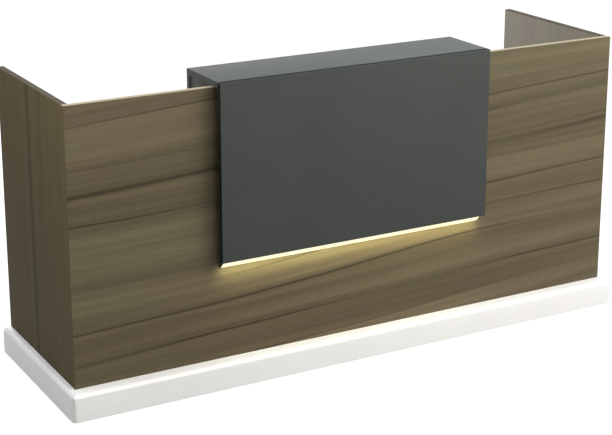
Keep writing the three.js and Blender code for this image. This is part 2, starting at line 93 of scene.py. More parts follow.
def setCurve(node, points):
    curve = node.mapping.curves[0]
    for place, value in points[1:-1]:
        curve.points.new(place, value)
    for point, (place, value) in zip(curve.points, points):
        point.location = (place, value)
        point.handle_type = "VECTOR"
    node.mapping.update()


# Walnut laminate: printed paper under a satin melamine film. Long flowing bands with thin dark veins
# between them that come and go, and fine fibres and pores along the grain.
walnut = {
    "veinPitch": 115 * mm,  # across the grain, on average
    "veinWander": 100 * mm,  # how far the drift moves a vein at the most
    "crowding": 2.1,  # how many steps the veins crowd by
    # tone across one vein, from half a step below it to half a step above: a dark line between pale zones
    "veinSection": [(0.0, 0.5), (0.2, 0.52), (0.4, 0.6), (0.455, 0.54), (0.49, 0.06), (0.51, 0.06),
                    (0.56, 0.44), (0.7, 0.5), (1.0, 0.5)],
    # one straight dark line that runs the whole height of an upright side
    "heartPlace": 53 * mm,
    "heartReach": 40 * mm,
    "heartSection": [(0.0, 0.5), (0.2, 0.45), (0.38, 0.1), (0.6, 0.1), (0.7, 0.42), (1.0, 0.5)],
    "sectionLevel": 0.5,  # a section at this level adds no tone
    # layers of noise: length along the grain, width across it, spread from one board to the next, detail
    "drift": {"length": 1666.7 * mm, "width": 500 * mm, "spread": 1.0, "detail": 1.5},
    "crowd": {"length": 5000 * mm, "width": 166.67 * mm, "spread": 2.3, "detail": 1.0},
    "patch": {"length": 1111.1 * mm, "width": 285.71 * mm, "spread": 1.0, "detail": 1.0},
    # the fade's width is a share of a vein's step, so that each vein fades by itself
    "fade": {"length": 909.1 * mm, "width": 0.18868, "spread": 1.0, "detail": 0.0,
             "range": (0.36, 0.6), "tones": (0.08, 0.78)},
    "band": {"length": 3333.3 * mm, "width": 100 * mm, "spread": 1.0, "detail": 2.0, "roughness": 0.55,
             "range": (0.36, 0.64), "tones": (-0.115, 0.125), "easing": "SMOOTHSTEP"},
    "streak": {"length": 2500 * mm, "width": 21.739 * mm, "spread": 1.7, "detail": 2.0,
               "range": (0.3, 0.7), "tones": (-0.085, 0.07)},
    # real fibres and pores are finer, and are drawn this coarse to show
    "fibre": {"length": 200 * mm, "width": 4 * mm, "spread": 1.0, "detail": 4.0, "roughness": 0.6,
              "range": (0.2, 0.8), "tones": (-0.065, 0.08)},
    "pore": {"length": 14 * mm, "width": 1.6 * mm, "spread": 1.0, "detail": 1.0,
             "range": (0.6, 0.7), "tones": (0.0, -0.12)},
    "middleTone": 0.52,
    "tones": [(0.0, "#332c20"), (0.3, "#4f4737"), (0.55, "#625846"), (0.8, "#726753"), (1.0, "#857a65")],
    # darker copies of the tones for the upright sides: painted shade, for sides that face away from the
    # light
    "shadedSideTones": [(0.0, "#2b2516"), (0.3, "#443b27"), (0.55, "#51472f"), (0.8, "#5d5238"), (1.0, "#6a5f43")],
    # paler copies of the tones for the end panels' inner faces: painted light
    "paintedLightTones": [(0.0, "#5c564e"), (0.5, "#908980"), (1.0, "#aea79e")],
    "tints": [(0.36, "#fafff4"), (0.64, "#fff9f4")],  # olive to brown, in patches a metre long
    "roughness": (0.46, 0.6),
    "bumpStrength": 0.06,
    "bumpHeight": 0.4 * mm,
}


# One layer of the figure: a noise drawn out along the grain
def addLayer(tree, place, layer):
    steps = (1 / layer["length"], 1 / layer["width"], layer["spread"])
    stretched = addNode(tree, "ShaderNodeVectorMath", {0: place, 1: steps}, operation="MULTIPLY").outputs[0]
    noise = addNode(tree, "ShaderNodeTexNoise",
                    {"Vector": stretched, "Scale": 1.0, "Detail": layer["detail"],
                     "Roughness": layer.get("roughness", 0.5)})
    return noise.outputs["Fac"]


# The figure runs along one axis, its veins step across another, and it rises by a slope along the board
def makeWalnut(name, along, across, seed, rise=0.0, contrast=1.0, tones="tones", ior=1.25, hasHeart=False):
    material, tree, shader = newMaterial(name, IOR=ior)
    place = addNode(tree, "ShaderNodeTexCoord").outputs["Object"]
    split = addNode(tree, "ShaderNodeSeparateXYZ", {0: place})
    run = split.outputs["XYZ".index(along)]
    height = split.outputs["XYZ".index(across)]
    tilted = addNode(tree, "ShaderNodeMath",
                     {0: run, 1: -rise, 2: height}, operation="MULTIPLY_ADD").outputs[0]

    # slow drift of the whole figure
    driftPlace = addNode(tree, "ShaderNodeCombineXYZ", {0: run, 1: tilted, 2: seed}).outputs[0]
    drift = addLayer(tree, driftPlace, walnut["drift"])
    warped = addNode(tree, "ShaderNodeMath",
                     {0: drift, 1: walnut["veinWander"], 2: tilted}, operation="MULTIPLY_ADD").outputs[0]
    figurePlace = addNode(tree, "ShaderNodeCombineXYZ", {0: run, 1: warped, 2: seed}).outputs[0]

    # veins follow the warped height, and a slow noise crowds them together and parts them again
    crowd = addLayer(tree, figurePlace, walnut["crowd"])
    stepped = addNode(tree, "ShaderNodeMath",
                      {0: warped, 1: 1 / walnut["veinPitch"], 2: seed}, operation="MULTIPLY_ADD").outputs[0]
    count = addNode(tree, "ShaderNodeMath",
                    {0: crowd, 1: walnut["crowding"], 2: stepped}, operation="MULTIPLY_ADD").outputs[0]
    nearest = addNode(tree, "ShaderNodeMath", {0: count}, operation="ROUND").outputs[0]
    above = addNode(tree, "ShaderNodeMath", {0: count, 1: nearest}, operation="SUBTRACT").outputs[0]
    halfStep = 0.5
    phase = addNode(tree, "ShaderNodeMath", {0: above, 1: halfStep}, operation="ADD").outputs[0]
    section = addNode(tree, "ShaderNodeFloatCurve", {"Value": phase})
    setCurve(section, walnut["veinSection"])
    vein = addNode(tree, "ShaderNodeMath",
                   {0: section.outputs[0], 1: walnut["sectionLevel"]}, operation="SUBTRACT").outputs[0]

    # each vein comes and goes along the board
    fadePlace = addNode(tree, "ShaderNodeCombineXYZ", {0: run, 1: nearest, 2: seed}).outputs[0]
    fade = walnut["fade"]
    strength = addNode(tree, "ShaderNodeMapRange",
                       {"Value": addLayer(tree, fadePlace, fade),
                        "From Min": fade["range"][0], "From Max": fade["range"][1],
                        "To Min": fade["tones"][0], "To Max": fade["tones"][1]}).outputs[0]
    grain = addNode(tree, "ShaderNodeMath", {0: vein, 1: strength}, operation="MULTIPLY").outputs[0]

    # bands, streaks, fibres and pores each add their tone to the veins'
    noises = {}
    for layerName in ("band", "streak", "fibre", "pore"):
        layer = walnut[layerName]
        noises[layerName] = addLayer(tree, figurePlace, layer)
        added = addNode(tree, "ShaderNodeMapRange",
                        {"Value": noises[layerName],
                         "From Min": layer["range"][0], "From Max": layer["range"][1],
                         "To Min": layer["tones"][0], "To Max": layer["tones"][1]},
                        interpolation_type=layer.get("easing", "LINEAR")).outputs[0]
        grain = addNode(tree, "ShaderNodeMath", {0: grain, 1: added}, operation="ADD").outputs[0]
    tone = addNode(tree, "ShaderNodeMath",
                   {0: grain, 1: contrast, 2: walnut["middleTone"]}, operation="MULTIPLY_ADD").outputs[0]
    if hasHeart:
        low = walnut["heartPlace"] - walnut["heartReach"]
        high = walnut["heartPlace"] + walnut["heartReach"]
        near = addNode(tree, "ShaderNodeMapRange", {"Value": height, "From Min": low, "From Max": high})
        line = addNode(tree, "ShaderNodeFloatCurve", {"Value": near.outputs[0]})
        setCurve(line, walnut["heartSection"])
        darker = addNode(tree, "ShaderNodeMath",
                         {0: line.outputs[0], 1: walnut["sectionLevel"]}, operation="SUBTRACT").outputs[0]
        tone = addNode(tree, "ShaderNodeMath", {0: tone, 1: darker}, operation="ADD").outputs[0]

    # tone to colour, tinted in patches
    ramp = addNode(tree, "ShaderNodeValToRGB", {"Fac": tone})
    setRamp(ramp, walnut[tones])
    tint = addNode(tree, "ShaderNodeValToRGB", {"Fac": addLayer(tree, figurePlace, walnut["patch"])})
    setRamp(tint, walnut["tints"])
    # sockets 6 and 7 are the two colours of a Mix node, and 2 is the colour that it gives
    tinted = addNode(tree, "ShaderNodeMix",
                     {"Factor": 1.0, 6: ramp.outputs["Color"], 7: tint.outputs["Color"]},
                     data_type="RGBA", blend_type="MULTIPLY")
    tree.links.new(tinted.outputs[2], shader.inputs["Base Color"])
    smooth, rough = walnut["roughness"]
    gloss = addNode(tree, "ShaderNodeMapRange",
                    {"Value": noises["fibre"], "To Min": rough, "To Max": smooth})
    tree.links.new(gloss.outputs[0], shader.inputs["Roughness"])
    bump = addNode(tree, "ShaderNodeBump",
                   {"Height": noises["fibre"], "Strength": walnut["bumpStrength"],
                    "Distance": walnut["bumpHeight"]})
    tree.links.new(bump.outputs["Normal"], shader.inputs["Normal"])
    return material


# A surface with a fine even grain: colour drifts slightly, and roughness and bump follow the grain.
# Real grains are under a millimetre, and are drawn at 2 to 6 mm to show.
evenGrain = {
    "detail": 3.0,
    "driftDetail": 2.0,
    "driftPitch": 250 * mm,
    "toneRange": (0.6, 1.4),  # of the grain and the drift added
    "grainRange": (0.25, 0.75),
    "bumpStrength": 0.3,
}


def makeGrained(name, colours, roughness, pitch, bumpHeight, stretch=(1, 1, 1),
                driftPitch=evenGrain["driftPitch"], **values):
    material, tree, shader = newMaterial(name, **values)
    place = addNode(tree, "ShaderNodeTexCoord").outputs["Object"]
    scaled = addNode(tree, "ShaderNodeVectorMath", {0: place, 1: stretch}, operation="MULTIPLY").outputs[0]
    grain = addNode(tree, "ShaderNodeTexNoise",
                    {"Vector": scaled, "Scale": 1 / pitch, "Detail": evenGrain["detail"]}).outputs["Fac"]
    drift = addNode(tree, "ShaderNodeTexNoise",
                    {"Vector": place, "Scale": 1 / driftPitch,
                     "Detail": evenGrain["driftDetail"]}).outputs["Fac"]
    both = addNode(tree, "ShaderNodeMath", {0: grain, 1: drift}, operation="ADD").outputs[0]
    low, high = evenGrain["toneRange"]
    tone = addNode(tree, "ShaderNodeMapRange", {"Value": both, "From Min": low, "From Max": high})
    ramp = addNode(tree, "ShaderNodeValToRGB", {"Fac": tone.outputs[0]})
    setRamp(ramp, list(zip((0.0, 1.0), colours)))
    tree.links.new(ramp.outputs["Color"], shader.inputs["Base Color"])
    low, high = evenGrain["grainRange"]
    rough = addNode(tree, "ShaderNodeMapRange",
                    {"Value": grain, "From Min": low, "From Max": high,
                     "To Min": roughness[0], "To Max": roughness[1]})
    tree.links.new(rough.outputs[0], shader.inputs["Roughness"])
    bump = addNode(tree, "ShaderNodeBump",
                   {"Height": grain, "Strength": evenGrain["bumpStrength"], "Distance": bumpHeight})
    tree.links.new(bump.outputs["Normal"], shader.inputs["Normal"])
    return material


# Opal polycarbonate, lit from behind: an even cream glow with no lamp to be seen in it
opal = {
    "tint": "#8f8a78",
    "glow": [(0.3, "#f6ebc8"), (0.7, "#faf1d4")],
    "strength": 1.0,
    "cloudPitch": 50 * mm,
    "cloudDetail": 1.0,
}


def makeOpal():
    material, tree, shader = newMaterial("opal polycarbonate, lit", IOR=1.58, Roughness=0.45)
    shader.inputs["Base Color"].default_value = linear(opal["tint"])
    place = addNode(tree, "ShaderNodeTexCoord").outputs["Object"]
    cloud = addNode(tree, "ShaderNodeTexNoise",
                    {"Vector": place, "Scale": 1 / opal["cloudPitch"], "Detail": opal["cloudDetail"]})
    ramp = addNode(tree, "ShaderNodeValToRGB", {"Fac": cloud.outputs["Fac"]})
    setRamp(ramp, opal["glow"])
    tree.links.new(ramp.outputs["Color"], shader.inputs["Emission Color"])
    shader.inputs["Emission Strength"].default_value = opal["strength"]
    return material


finishes = {
    # figure along a board, for each way that a board is cut
    "walnutFront": makeWalnut("walnut laminate, long front", "X", "Z", seed=3.55, rise=0.05),
    "walnutFlat": makeWalnut("walnut laminate, flat", "X", "Y", seed=4.1, rise=0.01),
    # the upright sides take the darker tones: painted shade, as they face away from the light
    "walnutSideShaded": makeWalnut("walnut laminate, upright side, painted shade", "Z", "Y", seed=7.6, contrast=0.6,
                             tones="shadedSideTones", ior=1.12, hasHeart=True),
    "walnutBack": makeWalnut("walnut laminate, upright back", "Z", "X", seed=2.9, contrast=0.8),
    # the end panels' inner faces take a paler copy: painted light, where those faces catch the light
    "walnutPaintedLight": makeWalnut("walnut laminate, painted light", "Z", "Y", seed=5.2, contrast=0.25,
                               tones="paintedLightTones"),
    # dark laminate with a pressed matt film, which still mirrors the sky at a low angle
    "slate": makeGrained("slate laminate, matt pressed", ("#3b3e3b", "#414441"),
                         roughness=(0.48, 0.58), pitch=3 * mm, bumpHeight=0.2 * mm, IOR=1.26),
    # edging cut from the same decor, matt, and darkened as painted shade for the fascia's edges and the gap
    # behind them
    "slateEdgeShaded": makeGrained("slate edging, matt ABS, painted shade", ("#1c1e1d", "#242625"),
                             roughness=(0.8, 0.9), pitch=3 * mm, bumpHeight=0.2 * mm, IOR=1.15),
    # dark edging on the casing's end panels, matt; its dark tone is painted shade, so that their upper edges
    # don't stand out in the light
    "walnutEdgeShaded": makeGrained("walnut edging, matt ABS, painted shade", ("#433f35", "#4c483d"),
                              roughness=(0.75, 0.85), pitch=3 * mm, bumpHeight=0.1 * mm, IOR=1.2),
    # cream edging on the front panel's upper edge, a paper-thin strip of pale wood colour, made paler still
    # as a painted highlight along that edge
    "cream": makeGrained("cream edging, sanded, painted highlight", ("#8c8168", "#9a8f75"),
                         roughness=(0.6, 0.7), pitch=3 * mm, bumpHeight=0.1 * mm, IOR=1.3),
    # white laminate bent over the plinth's nose, smooth and satin
    "white": makeGrained("white laminate, post-formed", ("#e6e5e3", "#eeedeb"),
                         roughness=(0.28, 0.36), pitch=6 * mm, bumpHeight=0.1 * mm, IOR=1.5),
    # drawer boxes in pearl melamine, finely pitted
    "melamine": makeGrained("pearl melamine", ("#bdbcb6", "#cac9c3"),
                            roughness=(0.42, 0.55), pitch=3 * mm, bumpHeight=0.2 * mm, IOR=1.5),
    # drawn and anodised: a soft grey shine with fine lines along its length
    "aluminium": makeGrained("aluminium, anodised", ("#a9acae", "#b9bcbe"),
                             roughness=(0.3, 0.4), pitch=2 * mm, bumpHeight=0.1 * mm,
                             stretch=(0.05, 1, 1), Metallic=1.0),
    # bright zinc on rolled steel: cloudy patches of a few centimetres and fine rolling lines
    "zinc": makeGrained("steel, zinc plated", ("#9a9fa3", "#b3b6b5"),
                        roughness=(0.26, 0.42), pitch=4 * mm, bumpHeight=0.1 * mm,
                        stretch=(1, 0.1, 1), driftPitch=30 * mm, Metallic=1.0),
    # brushed and plated: warm and satin, with faint lines along the desk's width
    "nickel": makeGrained("nickel, brushed", ("#aca79e", "#bdb8af"),
                          roughness=(0.24, 0.36), pitch=2 * mm, bumpHeight=0.1 * mm,
                          stretch=(0.08, 1, 1), Metallic=1.0),
    # moulded in an etched tool, so it stays matt
    "black": makeGrained("black ABS, moulded", ("#202224", "#2a2c2e"),
                         roughness=(0.48, 0.62), pitch=2 * mm, bumpHeight=0.2 * mm, IOR=1.52),
    # white lacquer over the strip's copper, even and half matt
    "circuit": makeGrained("circuit tape, white lacquer", ("#e4e2d8", "#eeece4"),
                           roughness=(0.4, 0.5), pitch=4 * mm, bumpHeight=0.1 * mm, IOR=1.5),
    "opal": makeOpal(),
}
print("materials:", len(finishes))

# Which finish each solid takes, by the first words of its name
nodeFinish = [
    ("panel_front", "walnutFront"), ("panel_", "walnutSideShaded"), ("worktop", "walnutFlat"),
    ("drawer_gable", "walnutSideShaded"), ("cupboard_gable", "walnutSideShaded"),
    ("drawer_back", "walnutBack"), ("cupboard_back", "walnutBack"),
    ("drawer_floor", "walnutFlat"), ("cupboard_floor", "walnutFlat"), ("cupboard_shelf", "walnutFlat"),
    ("plinth_", "white"), ("drawer_kick", "white"), ("cupboard_kick", "white"),
    ("counter_", "slate"), ("fascia_rail", "slate"), ("cupboard_door", "slate"),
    ("light_channel", "aluminium"), ("light_strip", "circuit"), ("light_diffuser", "opal"),
    ("light_", "black"), ("cable_", "black"), ("door_catch", "black"),
    ("drawer_foot_strip", "black"), ("cupboard_foot_strip", "black"),
    ("cabinet_runner", "zinc"), ("door_pivot", "zinc"), ("door_handle", "nickel"),
]
drawerFinish = {"front": "slate", "box": "melamine", "handle": "nickel", "runner": "zinc"}


def finishOf(name):
    words = name.split("_")
    if words[0] == "drawer" and words[1] in drawers:
        return drawerFinish[words[2]]
    return next(finish for start, finish in nodeFinish if name.startswith(start))


for name, node in nodes.items():
    node.data.materials.clear()
    node.data.materials.append(finishes[finishOf(name)])

# Round forms shade as round: their facets are joined and only edges past a set angle stay sharp
smoothing = {"Merge": 0.001 * mm, "Sharp": math.radians(35)}


def makeSmoothTree():
    tree = bpy.data.node_groups.new("smooth round forms", "GeometryNodeTree")
    inputs = (("Solid", "Geometry"), ("Merge", "Float"), ("Sharp", "Float"))
    for name, kind in inputs:
        tree.interface.new_socket(name, in_out="INPUT", socket_type=f"NodeSocket{kind}")
    tree.interface.new_socket("Smoothed", in_out="OUTPUT", socket_type="NodeSocketGeometry")
    given = addNode(tree, "NodeGroupInput").outputs
    merged = addNode(tree, "GeometryNodeMergeByDistance",
                     {"Geometry": given["Solid"], "Distance": given["Merge"]}).outputs[0]
    smooth = addNode(tree, "GeometryNodeSetShadeSmooth",
                     {"Geometry": merged, "Shade Smooth": True}, domain="FACE").outputs[0]
    angle = addNode(tree, "GeometryNodeInputMeshEdgeAngle").outputs["Unsigned Angle"]
    sharp = addNode(tree, "FunctionNodeCompare",
                    {0: angle, 1: given["Sharp"]}, operation="GREATER_THAN").outputs[0]
    kept = addNode(tree, "GeometryNodeSetShadeSmooth",
                   {"Geometry": smooth, "Selection": sharp, "Shade Smooth": False}, domain="EDGE")
    addNode(tree, "NodeGroupOutput", {0: kept.outputs[0]})
    return tree


# Puts a node tree on an object, with its named inputs set by their sockets' identifiers
def addTree(holder, tree, values):
    modifier = holder.modifiers.new(tree.name, "NODES")
    modifier.node_group = tree
    for socket in tree.interface.items_tree:
        if socket.name in values:
            modifier[socket.identifier] = values[socket.name]


smoothTree = makeSmoothTree()
for node in nodes.values():
    addTree(node, smoothTree, smoothing)
print("solids dressed:", len(nodes))


def addObject(name, data):
    made = bpy.data.objects.new(name, data)
    scene.collection.objects.link(made)
    return made


# A finished piece: a mesh with its place in its points, one finish, riding on a body
def addPiece(name, mesh, finish, body):
    mesh.materials.clear()
    mesh.materials.append(finishes[finish])
    piece = addObject(name, mesh)
    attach(piece, body)
    return piece


def asMesh(shape, name):
    mesh = bpy.data.meshes.new(name)
    shape.to_mesh(mesh)
    shape.free()
    return mesh


def roundEdges(shape, edges, rounding, steps):
    bmesh.ops.bevel(shape, geom=edges, offset=rounding, segments=steps, profile=0.5, affect="EDGES")


# A block between two corners with its edges rounded
def blockMesh(name, low, high, rounding, steps=2):
    shape = bmesh.new()
    bmesh.ops.create_cube(shape, size=1.0)
    size = Vector(high) - Vector(low)
    middle = (Vector(high) + Vector(low)) / 2
    placed = Matrix.Translation(middle) @ Matrix.Diagonal((*size, 1.0))
    bmesh.ops.transform(shape, matrix=placed, verts=shape.verts)
    roundEdges(shape, shape.edges[:], rounding, steps)
    return asMesh(shape, name)


# Edge bands: thin strips glued on the sawn edges of the casing and the fascia
bands = {"thickness": 0.2 * mm, "inset": 1.6 * mm, "rounding": 0.06 * mm}


# a band along a board's upper edge, which starts behind the front panel where that covers the board's end
def addBand(name, node, finish, covered=0):
    low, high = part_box(node)
    inset = bands["inset"]
    start = (low.x + inset, low.y + covered + inset, high.z)
    end = (high.x - inset, high.y - inset, high.z + bands["thickness"])
    addPiece(name, blockMesh(name, start, end, bands["rounding"]), finish, "desk")


panelLow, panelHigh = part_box("panel_front")
panelWall = panelHigh.y - panelLow.y
# the front panel's pale band is real edging that also paints the highlight on its upper edge
addBand("band_front", "panel_front", "cream")
# the end panels' dark bands are painted shade on their upper edges
addBand("band_left", "panel_left", "walnutEdgeShaded", panelWall)
addBand("band_right", "panel_right", "walnutEdgeShaded", panelWall)
# the fascia's top band is a real edge band, darkened as painted shade along the line between counter top and
# fascia
addBand("band_fascia", "counter_fascia", "slateEdgeShaded")
fasciaLow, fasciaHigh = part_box("counter_fascia")
# dark end bands on the fascia: painted shade for its ends and the gap behind them
for side, face, reach in (("left", fasciaLow.x, -1), ("right", fasciaHigh.x, 1)):
    edges = sorted((face, face + reach * bands["thickness"]))
    start = (edges[0], fasciaLow.y + bands["inset"], fasciaLow.z + bands["inset"])
    end = (edges[1], fasciaHigh.y - bands["inset"], fasciaHigh.z - bands["inset"])
    strip = blockMesh(f"band_fascia_{side}", start, end, bands["rounding"])
    addPiece(f"band_fascia_{side}", strip, "slateEdgeShaded", "desk")
print("edge bands done")

# Painted light: a paler sheet of the same laminate on the staff's side of the two end panels, above the
# worktop, where those faces are lit
paintedLightSheet = {"thickness": 0.2 * mm, "margin": 2 * mm, "rounding": 0.06 * mm}
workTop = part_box("worktop")[1].z
for side, inward in (("left", 1), ("right", -1)):
    low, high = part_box(f"panel_{side}")
    face = low.x + panelWall if side == "left" else high.x - panelWall
    edges = sorted((face, face + inward * paintedLightSheet["thickness"]))
    margin = paintedLightSheet["margin"]
    start = (edges[0], low.y + panelWall + margin, workTop + margin)
    end = (edges[1], high.y - margin, high.z - margin)
    sheet = blockMesh(f"lining_{side}", start, end, paintedLightSheet["rounding"])
    addPiece(f"lining_{side}", sheet, "walnutPaintedLight", "desk")
print("lining done")

# Bow handles: the flat bar's edges are broken, as a tumbled casting's are
handles = {
    "rounding": 1.4 * mm,
    "steps": 3,
    "merge": 0.001 * mm,
    "sharp": math.radians(40),  # edges past this angle are rounded
    "flat": math.radians(2),  # facets within this angle are joined first
}


def addHandle(node, body):
    shape = bmesh.new()
    shape.from_mesh(nodes[node].data)
    bmesh.ops.remove_doubles(shape, verts=shape.verts[:], dist=handles["merge"])
    bmesh.ops.dissolve_limit(shape, angle_limit=handles["flat"], verts=shape.verts[:], edges=shape.edges[:])
    sharp = [edge for edge in shape.edges if edge.calc_face_angle(0) > handles["sharp"]]
    roundEdges(shape, sharp, handles["rounding"], handles["steps"])
    for face in shape.faces:
        face.smooth = True
    bow = asMesh(shape, f"{node}_bow")
    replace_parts(addPiece(f"{node}_bow", bow, "nickel", body), node)


for drawer in drawers:
    addHandle(f"drawer_{drawer}_handle", f"{drawer}_drawer")
addHandle("door_handle", "door")
print("handles done")

# Fixings: small turned heads that stand on a face, repeated by a node tree, one mesh for each body
fixings = {
    "sides": 24,
    "size": 1.0,  # heads at the size drawn here
    # rings of a head in mm: radius, height and how far the ring is drawn in to a cross
    "screw": [(4.0, 0, 0), (4.0, 0.3, 0), (3.5, 0.9, 0), (2.7, 1.2, 0), (2.3, 1.2, 0.65), (2.1, 0.4, 0.65)],
    "cap": [(7.5, 0, 0), (7.5, 0.4, 0), (7.1, 0.8, 0), (5.5, 0.9, 0)],
    "sleeve": [(3.6, 0, 0), (3.6, 0.12, 0), (3.4, 0.2, 0), (2.5, 0.2, 0), (2.4, 0.02, 0)],
    "pin": [(4.0, 0, 0), (4.0, 1.2, 0), (2.4, 1.5, 0), (2.4, 10.0, 0), (1.9, 10.5, 0)],
    "pinRadius": 2.4 * mm,
    "runnerEnds": 40 * mm,  # from a runner's ends to its screws
    "runnerSheet": 1.2 * mm,  # thickness of a runner's steel
    "boxWall": 12 * mm,  # thickness of a drawer box's wall
    "handlePost": 9 * mm,  # width of a bow handle's post
    "driverFootMiddle": 8 * mm,  # from the driver's end
    "driverFootThickness": 4 * mm,
    "catchScrew": 0.25,  # share of the catch's length from its end
    "holePitch": 32 * mm,
    "holeRows": 15,
    "holeStart": 180 * mm,  # the lowest row, above the floor
    "holeColumns": (-140 * mm, 215 * mm),  # Y of the two columns
    "shelfRoom": 22 * mm,  # no holes this close to the shelf
    "capColumns": (-200 * mm, 240 * mm),
    "capRows": (130 * mm, 700 * mm),
}


def headMesh(kind):
    shape = bmesh.new()
    sides = fixings["sides"]
    turns = [2 * math.pi * i / sides for i in range(sides)]
    loops = []
    for radius, height, cross in fixings[kind]:
        spokes = [radius * mm * (1 - cross * math.sin(2 * turn) ** 2) for turn in turns]
        points = [(r * math.cos(turn), r * math.sin(turn), height * mm) for r, turn in zip(spokes, turns)]
        loops.append([shape.verts.new(point) for point in points])
    for lower, upper in zip(loops, loops[1:]):
        for i in range(sides):
            j = (i + 1) % sides
            shape.faces.new((lower[i], lower[j], upper[j], upper[i]))
    shape.faces.new(loops[0][::-1])
    shape.faces.new(loops[-1])
    return asMesh(shape, kind)


def makeFixingTree():
    tree = bpy.data.node_groups.new("fixings", "GeometryNodeTree")
    inputs = (("Places", "Geometry"), ("Head", "Object"), ("Size", "Float"), ("Finish", "Material"))
    for name, kind in inputs:
        tree.interface.new_socket(name, in_out="INPUT", socket_type=f"NodeSocket{kind}")
    tree.interface.new_socket("Heads", in_out="OUTPUT", socket_type="NodeSocketGeometry")
    given = addNode(tree, "NodeGroupInput").outputs
    facing = addNode(tree, "GeometryNodeInputNamedAttribute", {"Name": "facing"}, data_type="FLOAT_VECTOR")
    turned = addNode(tree, "FunctionNodeAlignRotationToVector",
                     {"Vector": facing.outputs["Attribute"]}, axis="Z")
    head = addNode(tree, "GeometryNodeObjectInfo", {"Object": given["Head"]})
    placed = addNode(tree, "GeometryNodeInstanceOnPoints",
                     {"Points": given["Places"], "Instance": head.outputs["Geometry"],
                      "Rotation": turned.outputs["Rotation"], "Scale": given["Size"]})
    real = addNode(tree, "GeometryNodeRealizeInstances", {"Geometry": placed.outputs[0]})
    done = addNode(tree, "GeometryNodeSetMaterial",
                   {"Geometry": real.outputs[0], "Material": given["Finish"]})
    addNode(tree, "NodeGroupOutput", {0: done.outputs[0]})
    return tree


fixingTree = makeFixingTree()


# places: a list of points with the way that each head faces
def addFixings(name, kind, places, finish, body):
    points = bpy.data.meshes.new(f"{name}_points")
    points.from_pydata([place for place, facing in places], [], [])
    facings = points.attributes.new("facing", "FLOAT_VECTOR", "POINT")
    for item, (place, facing) in zip(facings.data, places):
        item.vector = facing
    head = addObject(kind, headMesh(kind))
    holder = addObject(f"{name}_points", points)
    addTree(holder, fixingTree, {"Head": head, "Size": fixings["size"], "Finish": finishes[finish]})
    graph = bpy.context.evaluated_depsgraph_get()
    mesh = bpy.data.meshes.new_from_object(holder.evaluated_get(graph), depsgraph=graph)
    mesh.name = name
    for made in (head, holder):
        bpy.data.objects.remove(made)
    addPiece(name, mesh, finish, body)


# three screws along a runner's web, on the side that the other runner slides past
def runnerScrews(node, face, facing):
    low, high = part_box(node)
    middle = (low + high) / 2
    ends = (low.y + fixings["runnerEnds"], middle.y, high.y - fixings["runnerEnds"])
    return [((face, y, middle.z), (facing, 0, 0)) for y in ends]


deskScrews = []
post = fixings["handlePost"] / 2
for drawer in drawers:
    screws = []
    for side, facing in (("left", 1), ("right", -1)):
        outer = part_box(f"cabinet_runner_{drawer}_{side}")[0 if facing > 0 else 1].x
        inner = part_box(f"drawer_{drawer}_runner_{side}")[1 if facing > 0 else 0].x
        sheet = facing * fixings["runnerSheet"]
        deskScrews += runnerScrews(f"cabinet_runner_{drawer}_{side}", outer + sheet, facing)
        screws += runnerScrews(f"drawer_{drawer}_runner_{side}", inner - sheet, -facing)
    low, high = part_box(f"drawer_{drawer}_handle")
    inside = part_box(f"drawer_{drawer}_box")[1].y - fixings["boxWall"]
    screws += [((x, inside, (low.z + high.z) / 2), (0, -1, 0)) for x in (low.x + post, high.x - post)]
    addFixings(f"{drawer}_drawer_screws", "screw", screws, "zinc", f"{drawer}_drawer")

low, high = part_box("light_driver")
for x in (low.x + fixings["driverFootMiddle"], high.x - fixings["driverFootMiddle"]):
    deskScrews.append(((x, low.y + fixings["driverFootThickness"], (low.z + high.z) / 2), (0, 1, 0)))
low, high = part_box("door_catch")
catchEnd = (high.x - low.x) * fixings["catchScrew"]
for x in (low.x + catchEnd, high.x - catchEnd):
    deskScrews.append(((x, (low.y + high.y) / 2, low.z), (0, 0, -1)))
addFixings("desk_screws", "screw", deskScrews, "zinc", "desk")

low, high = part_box("door_handle")
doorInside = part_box("cupboard_door")[0].y
doorScrews = [(((low.x + high.x) / 2, doorInside, z), (0, -1, 0)) for z in (low.z + post, high.z - post)]
addFixings("door_screws", "screw", doorScrews, "zinc", "door")

# rows of shelf holes in the cupboard's two walls, each with a pressed sleeve,
# and a pin under each shelf corner
shelfLow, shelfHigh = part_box("cupboard_shelf")
walls = ((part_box("panel_left")[1].x, 1), (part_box("cupboard_gable")[0].x, -1))
sleeves = []
pins = []
for face, facing in walls:
    for y in fixings["holeColumns"]:
        pins.append(((face, y, shelfLow.z - fixings["pinRadius"]), (facing, 0, 0)))
        for row in range(fixings["holeRows"]):
            z = fixings["holeStart"] + row * fixings["holePitch"]
            if not shelfLow.z - fixings["shelfRoom"] < z < shelfHigh.z + fixings["shelfRoom"]:
                sleeves.append(((face, y, z), (facing, 0, 0)))
addFixings("shelf_sleeves", "sleeve", sleeves, "black", "desk")
addFixings("shelf_pins", "pin", pins, "nickel", "desk")

# caps over the cam fittings that hold the pedestals together, on the knee space's side
caps = []
for node, corner, facing in (("drawer_gable", 0, -1), ("cupboard_gable", 1, 1)):
    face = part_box(node)[corner].x
    for y in fixings["capColumns"]:
        caps += [((face, y, z), (facing, 0, 0)) for z in fixings["capRows"]]
addFixings("cam_caps", "cap", caps, "walnutSideShaded", "desk")
print("fixings done")

# Camera at the visitors' left, as in the photograph
view = {
    "place": (-2.8005, -4.9169, 2.3065),
    "turn": 29.137,  # degrees to the right of +Y
    "tip": 16.106,  # degrees down
    "lens": 93.754,
    "sensor": 36,
    "shift": -0.0997,
}
cameraData = bpy.data.cameras.new("camera")
cameraData.lens = view["lens"]
cameraData.sensor_width = view["sensor"]
cameraData.shift_y = view["shift"]
camera = addObject("camera", cameraData)
camera.location = view["place"]
camera.rotation_euler = (math.radians(90 - view["tip"]), 0, math.radians(-view["turn"]))
scene.camera = camera
print("camera done")

